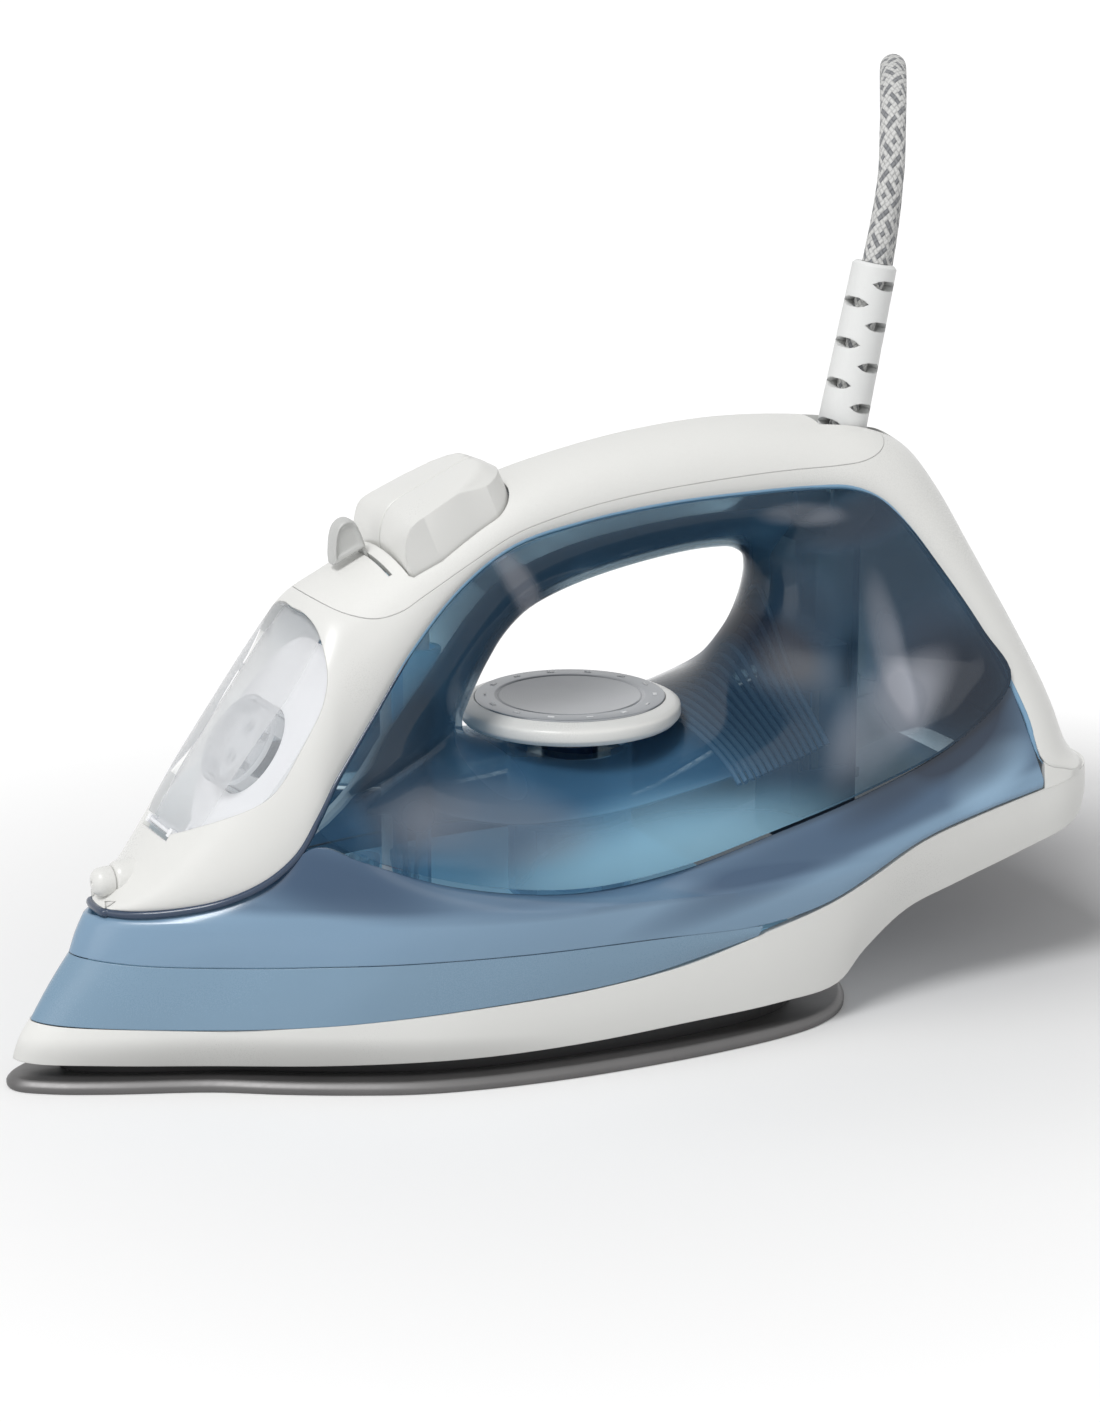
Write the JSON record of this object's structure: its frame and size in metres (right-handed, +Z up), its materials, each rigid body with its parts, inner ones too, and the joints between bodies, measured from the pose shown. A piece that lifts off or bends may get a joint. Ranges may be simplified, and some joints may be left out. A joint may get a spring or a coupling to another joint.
{
  "type": "steam iron",
  "caption": "Cordset steam iron with a flat soleplate, translucent water tank, closed loop handle, dial, steam lever, push buttons, inlet door, cord guard and mains cord.",
  "frame": {"origin": "middle of the body's length and width, on the ironing face of the soleplate", "axes": "+X to the tip of the soleplate, +Y to the iron's left, +Z up through the handle"},
  "size_m": [0.2953, 0.2268, 0.2431],
  "materials": {
    "ceramic_sole": "smooth pale champagne ceramic coating on aluminium",
    "cast_aluminium": "as cast",
    "steel_dark": "oxidised sheath",
    "steel_bright": "bright zinc",
    "black_plastic": "matt black heat-resistant plastic",
    "ceramic_insulator": "unglazed steatite",
    "white_plastic": "fine satin white",
    "grey_plastic": "satin light grey",
    "blue_plastic": "glossy grey-blue",
    "clear_blue": "smoky translucent blue plastic",
    "dark_blue": "glossy dark blue",
    "silver_plate": "spun satin with a bright ring",
    "red_rubber": "silicone",
    "inner_plastic": "natural polypropylene",
    "clear_tube": "milky silicone hose",
    "clear_door": "tinted clear plastic",
    "lead_sleeve": "glass-braid sleeve",
    "lamp_lens": "clear blue lens",
    "guard_white": "soft white",
    "cord_braid": "grey and white woven textile",
    "tie_strap": "soft band",
    "plug_plastic": "moulded"
  },
  "bodies": {
    "iron": {"soleplate": "ceramic_sole", "heater_casting": "cast_aluminium", "heating_element": "steel_dark", "element_terminals": "steel_bright", "chamber_cover": "cast_aluminium", "cover_screws": "steel_bright", "heat_shield": "black_plastic", "thermostat": "ceramic_insulator", "thermal_fuse": "ceramic_insulator", "base_shell": "white_plastic", "heel_floor": "grey_plastic", "heel_screws": "steel_bright", "lower_skirt": "blue_plastic", "tank_belt": "clear_blue", "tank_shell": "clear_blue", "tank_floor": "blue_plastic", "dial_well": "clear_blue", "dial_bush": "dark_blue", "valve_seat": "red_rubber", "lever_post": "steel_bright", "control_chassis": "inner_plastic", "pump_block": "inner_plastic", "spray_spring": "steel_bright", "steam_spring": "steel_bright", "suction_tubes": "inner_plastic", "spray_hose": "clear_tube", "spray_nozzle": "white_plastic", "c_frame": "white_plastic", "handle_cover": "white_plastic", "inlet_tray": "grey_plastic", "fill_funnel": "inner_plastic", "rear_chassis": "inner_plastic", "terminal_block": "ceramic_insulator", "mains_leads": "lead_sleeve", "pilot_lamp": "lamp_lens", "guard_cradle": "inner_plastic", "cord_run": "cord_braid", "cord_coil": "cord_braid", "cord_tail": "cord_braid", "cord_tie": "tie_strap", "plug_body": "plug_plastic", "plug_pins": "steel_bright"},
    "dial": {"dial_rim": "white_plastic", "dial_plate": "silver_plate", "thermostat_shaft": "steel_bright"},
    "lever": {"steam_lever": "grey_plastic"},
    "valve": {"valve_rod": "inner_plastic"},
    "spray_key": {"spray_button": "white_plastic"},
    "steam_key": {"steam_button": "white_plastic"},
    "spray_piston": {"spray_plunger": "inner_plastic"},
    "steam_piston": {"steam_plunger": "inner_plastic"},
    "door": {"inlet_door": "clear_door", "door_pin": "steel_bright"},
    "guard": {"cord_guard": "guard_white", "cord_core": "cord_braid"}
  },
  "joints": [
    {"name": "dial_turn", "type": "hinge", "parent": "iron", "child": "dial", "pos_m": [-0.0105, 0, 0.08], "axis": [0, 0, 1], "range_deg": [-140, 140]},
    {"name": "steam_lever_swing", "type": "hinge", "parent": "iron", "child": "lever", "pos_m": [0.04242, 0, 0.11309], "axis": [-0.9149, 0, 0.4036], "range_deg": [-30, 30]},
    {"name": "valve_lift", "type": "slide", "parent": "iron", "child": "valve", "axis": [0, 0, 1], "range_m": [-0.001, 0.001]},
    {"name": "spray_press", "type": "slide", "parent": "iron", "child": "spray_key", "axis": [-0.4036, 0, -0.9149], "range_m": [0, 0.003], "stiffness_N_per_m": 300, "springref_m": -0.004},
    {"name": "steam_press", "type": "slide", "parent": "iron", "child": "steam_key", "axis": [-0.4036, 0, -0.9149], "range_m": [0, 0.003], "stiffness_N_per_m": 300, "springref_m": -0.004},
    {"name": "spray_stroke", "type": "slide", "parent": "iron", "child": "spray_piston", "axis": [0, 0, -1], "range_m": [0, 0.0028], "deforming": ["spray_spring"]},
    {"name": "steam_stroke", "type": "slide", "parent": "iron", "child": "steam_piston", "axis": [0, 0, -1], "range_m": [0, 0.0028], "deforming": ["steam_spring"]},
    {"name": "inlet_door_open", "type": "hinge", "parent": "iron", "child": "door", "pos_m": [0.1047, 0, 0.06342], "axis": [0, 1, 0], "range_deg": [0, 75]},
    {"name": "cord_guard_swivel", "type": "hinge", "parent": "iron", "child": "guard", "pos_m": [-0.0895, 0, 0.138], "axis": [0, 1, 0], "range_deg": [-12, 18], "deforming": ["cord_run"]}
  ],
  "couplings": [
    {"joint": "valve_lift", "follows": "steam_lever_swing", "m_per_rad": 0.0019},
    {"joint": "spray_stroke", "follows": "spray_press", "ratio": 0.91492},
    {"joint": "steam_stroke", "follows": "steam_press", "ratio": 0.91492}
  ]
}
